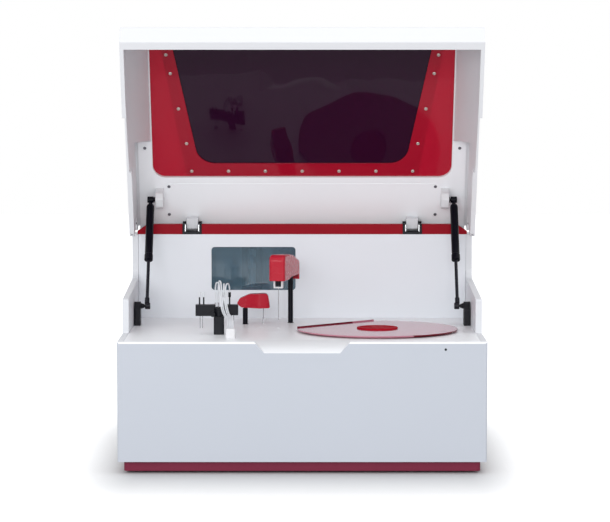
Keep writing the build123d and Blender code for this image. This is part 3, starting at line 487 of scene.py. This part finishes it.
# ---------------------------------------------------------------- hinge rail
# A dark red moulding runs along the top of the rear wall and covers the hinge line. Two
# black cups are let into it, lined beside the arm with plain steel plates.
hood_red = textured("gloss_red_moulding", (0.46, 0.008, 0.026), 0.26, 0.003, 0.000002, 0.05, 0.04, 14)
shine(hood_red, Specular_IOR_Level=0.2, Coat_Weight=0.2, Coat_Roughness=0.06)
rail_red = textured("satin_red_moulding", (0.31, 0.004, 0.014), 0.40, 0.003, 0.000002, 0.05, 0.04, 14)
shine(rail_red, Specular_IOR_Level=0.07)
satin_black = textured(
    "satin_black_plastic", (0.004, 0.004, 0.008), 0.40, 0.0009, 0.00002, 0.1, 0.06, 20
)
shine(satin_black, Specular_IOR_Level=0.2)
finish_nodes(["hinge_rail"], rail_red, "housing", "red_plastic", 0.0010, 3)
finish_nodes(["hinge_brackets", "strut_lower_brackets"], satin_black, "housing", "black_plastic", 0.0006)

bright_steel = textured("bright_steel", (0.66, 0.67, 0.69), 0.28, 0.001, 0.00001)
shine(bright_steel, Metallic=1)
hinge_liners = bmesh.new()
for side in (-1, 1):
    for edge in (-1, 1):
        centre = (side * 0.240 + edge * 0.01445, 0.2170, 0.4625)
        size = Matrix.Diagonal((0.0024, 0.0266, 0.0150, 1))
        bmesh.ops.create_cube(hinge_liners, size=1, matrix=Matrix.Translation(centre) @ size)
liner_mesh = bpy.data.meshes.new("hinge_liners")
hinge_liners.to_mesh(liner_mesh)
hinge_liners.free()
liners = bpy.data.objects.new("hinge_liners", liner_mesh)
bpy.context.scene.collection.objects.link(liners)
liner_rounding = liners.modifiers.new("rounded_edges", "BEVEL")
liner_rounding.width = 0.0003
liner_rounding.segments = 2
finish_piece(liners, bright_steel, "housing", "steel")

# ---------------------------------------------------------------- lid
# The hood is one thick white moulding. A red acrylic panel sits in a recess of its roof,
# a smoked sheet is screwed over the opening in it, and a white plate lines the lower half.
lid_white = textured("lid_moulding", (0.78, 0.785, 0.805), 0.42, 0.0008, 0.00003, 0.012, 0.04, 2.0)
finish_nodes(["lid_shell"], lid_white, "lid", "lid_white", 0.0018, 3)
# The inner plate takes the deck's lighter copy of the powder coat, painted light.
finish_nodes(["lid_inner_plate"], lamp_lit_white, "lid", "panel_white", 0.0008)

red_acrylic = acrylic("red_acrylic", (0.54, 0.009, 0.034), 0.04, 0.36, 0.12, 0.002)
smoked_acrylic = acrylic("smoked_acrylic", (0.027, 0.004, 0.021), 0.02, 0.2, 0.19, 0.004)
finish_nodes(["lid_red_panel"], red_acrylic, "lid", "red_acrylic", 0.0005)
finish_nodes(["lid_window"], smoked_acrylic, "lid", "smoked_acrylic", 0.0004)

hinge_white = textured("hinge_nylon", (0.78, 0.785, 0.80), 0.42, 0.0007, 0.00002)
# The hinge arms take a darker copy of the nylon: painted shade that tones down the light on their tops
# so that they merge with the plate behind.
shaded_arm_white = textured("arm_nylon", (0.66, 0.665, 0.69), 0.42, 0.0007, 0.00002)
finish_nodes(["hinge_arms"], shaded_arm_white, "lid", "pale_plastic", 0.0008)
finish_nodes(["strut_upper_brackets"], hinge_white, "lid", "pale_plastic", 0.0008)
finish_nodes(["lid_buffers"], foot_rubber, "lid", "rubber_black", 0.0003)

lid_axis = Vector((0, 0.229, 0.471))
lid_open = 64
front_to_centre = 0.306
swing = Matrix.Translation(lid_axis) @ Matrix.Rotation(math.radians(-lid_open), 4, "X")
swing = swing @ Matrix.Translation(-lid_axis)
window_spots = [(0.08 * column, depth) for column in range(-3, 4) for depth in (0.4175, 0.112)]
for depth in (0.138, 0.182, 0.266, 0.350):
    reach = 0.292 - 0.18556 * (depth - 0.122)
    window_spots += [(-reach, depth), (reach, depth)]
plate_side = ((0.340, 0.3575), (0.290, 0.452), (0.291, 0.521))
plate_spots = [(side * x, y) for side in (-1, 1) for x, y in plate_side]
dark_screw = shine(textured("darkened_screw", (0.16, 0.16, 0.18), 0.35, 0.001, 0.00002), Metallic=1)
screw_rows = (
    ("window_screws", window_spots, 0.494, 0.0038, plated, 6),
    ("plate_screws", plate_spots, 0.487, 0.0035, dark_screw, 9),
)
screw_heading = (math.radians(180 - lid_open), 0, 0)
for name, spots, face, radius, metal, seed in screw_rows:
    places = [(swing @ Vector((x, y - front_to_centre, face)), screw_heading) for x, y in spots]
    unit = crosshead_screw(name + "_unit", radius, 0.0019)
    row = repeated(name, unit, places, metal, turn_spread=3.14, seed=seed)
    finish_piece(row, metal, "lid", "screw_steel", "lid_screws")


# ---------------------------------------------------------------- gas struts
# Each strut is a black lacquered tube on a darkened rod. The tube is rolled in above its
# lower collar, a crimped neck carries the upper ball socket, and the rod ends in another.
def laid_along(piece, foot, head):
    """Move a turned shape so that its Z runs from the foot towards the head."""
    foot, head = Vector(foot), Vector(head)
    turn = (head - foot).to_track_quat("Z", "X").to_matrix().to_4x4()
    piece.data.transform(Matrix.Translation(foot) @ turn)
    return piece


def joined(name, pieces):
    """One mesh object from several, which are removed."""
    shape = bmesh.new()
    for piece in pieces:
        shape.from_mesh(piece.data)
        bpy.data.objects.remove(piece)
    mesh = bpy.data.meshes.new(name)
    shape.to_mesh(mesh)
    shape.free()
    mesh.shade_smooth()
    whole = bpy.data.objects.new(name, mesh)
    bpy.context.scene.collection.objects.link(whole)
    return whole


def softened(piece, width, segments=2):
    """Round a made piece's hard edges."""
    rounding = piece.modifiers.new("rounded_edges", "BEVEL")
    rounding.width = width
    rounding.segments = segments
    rounding.limit_method = "ANGLE"
    rounding.angle_limit = math.radians(30)
    evening = piece.modifiers.new("flat_faces_stay_flat", "WEIGHTED_NORMAL")
    evening.weight = 100
    return piece


strut_black = textured("strut_lacquer", (0.003, 0.003, 0.007), 0.34, 0.002, 0.00001, 0.1, 0.05, 20)
shine(strut_black, Specular_IOR_Level=0.12)
rod_dark = textured("darkened_rod", (0.012, 0.012, 0.018), 0.26, 0.002, 0.00001, 0.1, 0.05, 30)
shine(rod_dark, Specular_IOR_Level=0.16)
strut_foot = Vector((0.3295, 0.039, 0.307))
head_closed = Vector((0.3295, 0.4735 - front_to_centre, 0.467))
strut_head = swing @ head_closed
strut_reach = (strut_head - strut_foot).length
tube_profile = [(0.0040, 0.1143), (0.0085, 0.1143), (0.0093, 0.1153), (0.0093, 0.1275)]
tube_profile += [(0.0087, 0.1290), (0.0078, 0.1300), (0.0078, 0.1316), (0.0085, 0.1330)]
tube_profile += [(0.0085, 0.2500), (0.0081, 0.2525), (0.0070, 0.2550), (0.0052, 0.2562)]
tube_profile += [(0.0040, 0.2570), (0.0040, strut_reach)]
rod_profile = [(0.0050, 0.0060), (0.0050, 0.0188), (0.0044, 0.0200), (0.0035, 0.0203)]
rod_profile += [(0.0035, 0.1430)]
for side, sign in (("left", -1), ("right", 1)):
    flip = Matrix.Diagonal((sign, 1, 1, 1))
    tube = laid_along(turned("tube", tube_profile, 48), strut_foot, strut_head)
    socket = turned("socket", [(0.0060, -0.007), (0.0070, -0.006), (0.0070, 0.006), (0.0060, 0.007)], 40)
    laid_along(socket, strut_head, strut_head + Vector((1, 0, 0)))
    stud_profile = [(0.0065, 0.0), (0.0065, 0.0022), (0.0035, 0.0023), (0.0035, 0.0095)]
    stud = turned("stud", stud_profile, 32)
    laid_along(stud, Vector((0.3192, *strut_head[1:])), strut_head)
    whole = joined(f"{side}_strut_tube_finished", [tube, socket, stud])
    whole.data.transform(flip)
    if sign < 0:
        whole.data.flip_normals()
    softened(whole, 0.0003)
    finish_piece(whole, strut_black, f"{side}_tube", "strut_black", f"{side}_strut_tube")
    rod = laid_along(turned("rod", rod_profile, 32), strut_foot, strut_head)
    cup_profile = [(0.0046, -0.0040), (0.0062, -0.0040), (0.0070, -0.0030)]
    cup_profile += [(0.0070, 0.0060), (0.0058, 0.0070)]
    cup = turned("cup", cup_profile, 40)
    laid_along(cup, strut_foot, strut_foot - Vector((1, 0, 0)))
    whole = joined(f"{side}_strut_rod_finished", [rod, cup])
    whole.data.transform(flip)
    if sign < 0:
        whole.data.flip_normals()
    softened(whole, 0.0003)
    finish_piece(whole, rod_dark, f"{side}_rod", "polished_rod", f"{side}_strut_rod")

# ---------------------------------------------------------------- reagent carousel
# Bottles stand in a turning rack inside a chilled aluminium bowl. A thin red-tinted disc
# covers it, with painted light and shade on its rim and lip, and lifts off by the bar across its hub.
disc_tint = acrylic("disc_acrylic", (0.50, 0.07, 0.13), 0.06, 0.25, 0.7)
disc_rim = acrylic("disc_rim", (0.60, 0.26, 0.33), 0.12, 0.2, 0.3)
disc_edge_painted_shade = acrylic("disc_cut_edge", (0.13, 0.003, 0.014), 0.12, 0.0, 0.2)
cut_x, lip_foot = 0.107, 0.2721
cover = rounded_copy("carousel_cover", 0.0003)
halves = bmesh.new()
halves.from_mesh(cover.data)
everything = halves.verts[:] + halves.edges[:] + halves.faces[:]
bmesh.ops.bisect_plane(halves, geom=everything, plane_co=(cut_x, 0, 0), plane_no=(1, 0, 0))
halves.to_mesh(cover.data)
halves.free()
finish_piece(cover, disc_tint, "cover", "disc_plastic", "carousel_cover")
# The rim's upright faces are a lighter pink: painted light.
second_finish(cover, disc_rim, lambda spot, facing: abs(facing.z) < 0.5)
# Painted shade: the lip faces left of the cut and the rim right of x 0.225 are dark red.
second_finish(cover, disc_edge_painted_shade, lambda spot, facing: spot.z > lip_foot and spot.x < cut_x)
second_finish(cover, disc_edge_painted_shade, lambda spot, facing: abs(facing.z) < 0.5 and spot.x > 0.225)
hub_red = textured("hub_red_moulding", (0.40, 0.006, 0.018), 0.6, 0.003, 0.00001, 0.05, 0.04, 14)
shine(hub_red, Specular_IOR_Level=0.04)
finish_nodes(["cover_knob"], hub_red, "cover", "red_plastic", 0.0005)

bowl_metal = textured("bowl_aluminium", (0.62, 0.63, 0.64), 0.3, 0.0015, 0.00002)
shine(bowl_metal, Metallic=1)
finish_nodes(["cooling_bowl"], bowl_metal, "housing", "light_metal", 0.0006)
finish_nodes(["carousel_rotor"], bowl_metal, "carousel", "light_metal", 0.0004)
finish_nodes(["carousel_motor", "reaction_motor"], satin_black, "housing", "black_plastic", 0.0006)

carousel_centre = Vector((0.156, -0.088, 0))
bottle_spots = []
for ring, count in ((0.129, 20), (0.088, 13), (0.048, 7)):
    for number in range(count):
        angle = math.tau * number / count
        place = carousel_centre + Vector((ring * math.cos(angle), ring * math.sin(angle), 0.149))
        bottle_spots.append((place, (0, 0, angle)))
bottle_body = [(0.0120, 0.0), (0.0148, 0.0004), (0.0155, 0.0022), (0.0155, 0.0600), (0.0151, 0.0660)]
bottle_body += [(0.0132, 0.0708), (0.0098, 0.0736), (0.0080, 0.0744), (0.0080, 0.0790)]
bottle_white = textured("bottle_polyethylene", (0.7, 0.7, 0.66), 0.42, 0.001, 0.00002)
bottle = turned("bottle", bottle_body, 40)
bottles = repeated("bottle_bodies", bottle, bottle_spots, bottle_white, 0.6, seed=2)
finish_piece(bottles, bottle_white, "carousel", "clear_plastic", "reagent_bottles")
cap_profile = [(0.0096, 0.0792), (0.0100, 0.0797), (0.0100, 0.0898), (0.0092, 0.0909), (0.0, 0.0909)]
cap = turned("bottle_cap", cap_profile, 64)
for vertex in cap.data.vertices:
    rib = math.atan2(vertex.co.y, vertex.co.x) * 64 / math.tau
    if vertex.co.xy.length > 0.0099 and round(rib) % 2:
        vertex.co.x *= 0.965
        vertex.co.y *= 0.965
cap_red = textured("cap_polypropylene", (0.45, 0.02, 0.03), 0.45, 0.001, 0.00002)
caps = repeated("bottle_caps", cap, bottle_spots, cap_red, 1.5, seed=3)
finish_piece(caps, cap_red, "carousel", "red_plastic", "reagent_bottles")


# ---------------------------------------------------------------- reaction rotor
# A ring of square cuvettes hangs from a disc inside a shallow heated bowl. The disc is a
# grey moulding, the cuvettes are clear acrylic, and both turn with the hub.
def box_shape(name, boxes):
    """Mesh object made of plain boxes given by their low and high corners."""
    shape = bmesh.new()
    for low, high in boxes:
        low, high = Vector(low), Vector(high)
        size = Matrix.Diagonal((*(high - low), 1))
        bmesh.ops.create_cube(shape, size=1, matrix=Matrix.Translation((low + high) / 2) @ size)
    mesh = bpy.data.meshes.new(name)
    shape.to_mesh(mesh)
    shape.free()
    piece = bpy.data.objects.new(name, mesh)
    bpy.context.scene.collection.objects.link(piece)
    return piece


finish_nodes(["reaction_bowl"], bowl_metal, "housing", "light_metal", 0.0005)
reaction_centre = Vector((-0.178, -0.054, 0))
rotor_profile = [(0.0050, 0.105), (0.0050, 0.220), (0.0156, 0.220), (0.0160, 0.2204)]
rotor_profile += [(0.0160, 0.2420), (0.0960, 0.2420), (0.0964, 0.2424), (0.0964, 0.2476)]
rotor_profile += [(0.0960, 0.2480), (0.0162, 0.2480), (0.0160, 0.2516), (0.0156, 0.2520)]
rotor_profile += [(0.0, 0.2520)]
hub = turned("reaction_hub", rotor_profile, 96)
hub.data.transform(Matrix.Translation(reaction_centre))
rotor_grey = textured("rotor_plastic", (0.30, 0.31, 0.33), 0.4, 0.001, 0.00002)
finish_piece(softened(hub, 0.0003), rotor_grey, "reaction", "clear_plastic", "reaction_rotor")
cuvette_walls = [((-0.0035, -0.0035, 0.215), (0.0035, 0.0035, 0.2162))]
for low, high in ((-0.0035, -0.0025), (0.0025, 0.0035)):
    cuvette_walls.append(((low, -0.0035, 0.216), (high, 0.0035, 0.2450)))
    cuvette_walls.append(((-0.0025, low, 0.216), (0.0025, high, 0.2450)))
cuvette_walls.append(((-0.0036, -0.0046, 0.2448), (-0.0025, 0.0046, 0.2480)))
cuvette_walls.append(((0.0025, -0.0046, 0.2448), (0.0036, 0.0046, 0.2480)))
cuvette_count, cuvette_ring = 40, 0.1
cuvette_spots = []
for number in range(cuvette_count):
    angle = math.tau * number / cuvette_count
    across, along = cuvette_ring * math.cos(angle), cuvette_ring * math.sin(angle)
    place = reaction_centre + Vector((across, along, 0))
    cuvette_spots.append((place, (0, 0, angle)))
cuvette_clear = acrylic("cuvette_acrylic", (0.9, 0.93, 0.94), 0.05, 1.0)
cuvette = box_shape("cuvette", cuvette_walls)
cuvettes = repeated("cuvettes", cuvette, cuvette_spots, cuvette_clear, seed=5)
finish_piece(cuvettes, cuvette_clear, "reaction", "clear_plastic", "reaction_rotor")

# ---------------------------------------------------------------- sampling probe
# The arm's red hood hides the needle's tubing. It turns on a black post that rises and
# sinks in a guide under the deck. A white clip guards the needle's black collar.
finish_nodes(["lift_guides"], satin_black, "housing", "black_plastic", 0.0004)
finish_nodes(["probe_post"], strut_black, "probe_lift", "strut_black", 0.0004)
finish_nodes(["probe_cover"], hood_red, "probe_arm", "red_plastic", 0.0010, 3)
needle_steel = textured("needle_steel", (0.5, 0.5, 0.52), 0.25, 0.001, 0.00001)
shine(needle_steel, Metallic=1)
collar_foot = 0.3549
needle = rounded_copy("probe_needle", 0.0002)
finish_piece(needle, needle_steel, "probe_arm", "steel", "probe_needle")
second_finish(needle, satin_black, lambda spot, facing: spot.z > collar_foot)
finish_nodes(["needle_guard"], hinge_white, "probe_arm", "pale_plastic", 0.0003)

# ---------------------------------------------------------------- stirrer
# A smaller red hood on its own lifting post, with a motor-driven paddle at its blunt end.
# The hood is the same glossy moulding as the probe's, and the paddle is plain steel.
finish_nodes(["stirrer_post"], strut_black, "stirrer_lift", "strut_black", 0.0004)
finish_nodes(["stirrer_cover"], hood_red, "stirrer_arm", "red_plastic", 0.0015, 4)
paddle_steel = shine(textured("paddle_steel", (0.30, 0.30, 0.32), 0.4, 0.001, 0.00001), Metallic=1)
finish_nodes(["stirrer_paddle"], paddle_steel, "paddle", "steel", 0.0001)

# ---------------------------------------------------------------- wash station
# Two black blocks carry steel tubes over the cuvettes. They ride on a rod in a black
# column, and four thin hoses run from their stems to a white grommet block.
finish_nodes(["wash_column"], satin_black, "housing", "black_plastic", 0.0005)
finish_nodes(["wash_manifold"], satin_black, "wash_head", "black_plastic", 0.0006)
hose_clear = textured("hose_silicone", (0.80, 0.81, 0.84), 0.32, 0.001, 0.00001)
shine(hose_clear, Transmission_Weight=0.3, IOR=1.2)
nozzles = rounded_copy("wash_nozzles", 0.0002)
finish_piece(nozzles, needle_steel, "wash_head", "steel", "wash_nozzles")
cap_foot, cap_top = 0.3272, 0.3425


def on_cap(spot, facing):
    """Whether a face is on a nozzle's black cap, or on the stem of one at the right."""
    return cap_foot < spot.z < cap_top or spot.z > cap_foot and spot.x > -0.165


second_finish(nozzles, satin_black, on_cap)
second_finish(nozzles, hose_clear, lambda spot, facing: spot.z > cap_top and spot.x < -0.19)
finish_nodes(["wash_tubes"], hose_clear, "wash_head", "clear_plastic", 0.0001, 1, 60)
grommet_white = textured("grommet_nylon", (0.74, 0.73, 0.745), 0.42, 0.0007, 0.00002)
finish_nodes(["wash_tube_block"], grommet_white, "housing", "pale_plastic", 0.0008)

# ---------------------------------------------------------------- syringe
# The dosing syringe stands behind the rear window, clamped to a dark drive. Its barrel is
# frosted, and a white plunger slides in it.
barrel_frosted = textured("barrel_frosted", (0.72, 0.76, 0.78), 0.3, 0.001, 0.00001)
shine(barrel_frosted, Transmission_Weight=0.35)
drive_grey = textured("drive_painted", (0.10, 0.13, 0.15), 0.5, 0.001, 0.00002)
finish_nodes(["syringe_barrel"], barrel_frosted, "housing", "clear_plastic", 0.0003)
finish_nodes(["syringe_plunger"], hinge_white, "plunger", "pale_plastic", 0.0003)
finish_nodes(["syringe_drive"], drive_grey, "housing", "light_metal", 0.0006)

# ---------------------------------------------------------------- inside the base
# Photometer, pump, power supply and control board are bolted to the chassis. The board
# carries moulded chips on steel legs.
board_green = textured("solder_mask", (0.02, 0.16, 0.05), 0.35, 0.002, 0.00003, 0.1, 0.1, 40)
finish_nodes(["photometer", "wash_pump"], satin_black, "housing", "black_plastic", 0.0006)
finish_nodes(["power_supply"], zinc_sheet, "housing", "sheet_steel", 0.0005)
board = rounded_copy("control_board", 0.0002)
finish_piece(board, board_green, "housing", "board_green", "control_board")
board_face = 0.2538
second_finish(board, satin_black, lambda spot, facing: spot.y < board_face)
chips = (((-0.040, 0.0), (0.100, 0.140)), ((0.020, 0.050), (0.090, 0.120)))
chips += (((0.080, 0.130), (0.150, 0.200)), ((-0.030, 0.020), (0.180, 0.215)))
leg_pitch = 0.00254
leg_spots = []
for (left, right), (low, high) in chips:
    rows = int((high - low) / leg_pitch) - 1
    for row in range(rows):
        z = low + 0.0025 + row * leg_pitch
        leg_spots.append(((left - 0.0007, 0.2533, z), (0, 0, 0)))
        leg_spots.append(((right + 0.0007, 0.2533, z), (0, 0, 0)))
leg = box_shape("chip_leg", [((-0.0009, -0.0012, -0.0004), (0.0009, 0.0007, 0.0004))])
legs = repeated("chip_legs", leg, leg_spots, bright_steel, seed=7)
finish_piece(legs, bright_steel, "housing", "steel")

# ---------------------------------------------------------------- rear fittings
# A case fan, the mains inlet with its rocker switch, and three hose spigots. They sit in
# openings of the rear cover and are moulded in black or pale nylon.
finish_nodes(["fan_frame"], satin_black, "housing", "black_plastic", 0.0005)
finish_nodes(["fan_rotor"], satin_black, "fan", "black_plastic", 0.0003)
inlet = rounded_copy("power_inlet", 0.0005)
finish_piece(inlet, satin_black, "housing", "black_plastic", "power_inlet")


def in_socket(spot, facing):
    """Whether a face is on one of the inlet's pins, inside its socket."""
    across, up = abs(spot.x + 0.253), abs(spot.z - 0.07)
    return across < 0.0085 and 0.2722 < spot.y < 0.2851 and up < 0.005


second_finish(inlet, bright_steel, in_socket)
finish_nodes(["power_switch"], satin_black, "rocker", "black_plastic", 0.0003)
port_nylon = textured("port_nylon", (0.55, 0.57, 0.60), 0.4, 0.0008, 0.00002)
finish_nodes(["fluid_ports"], port_nylon, "housing", "pale_plastic", 0.0003)
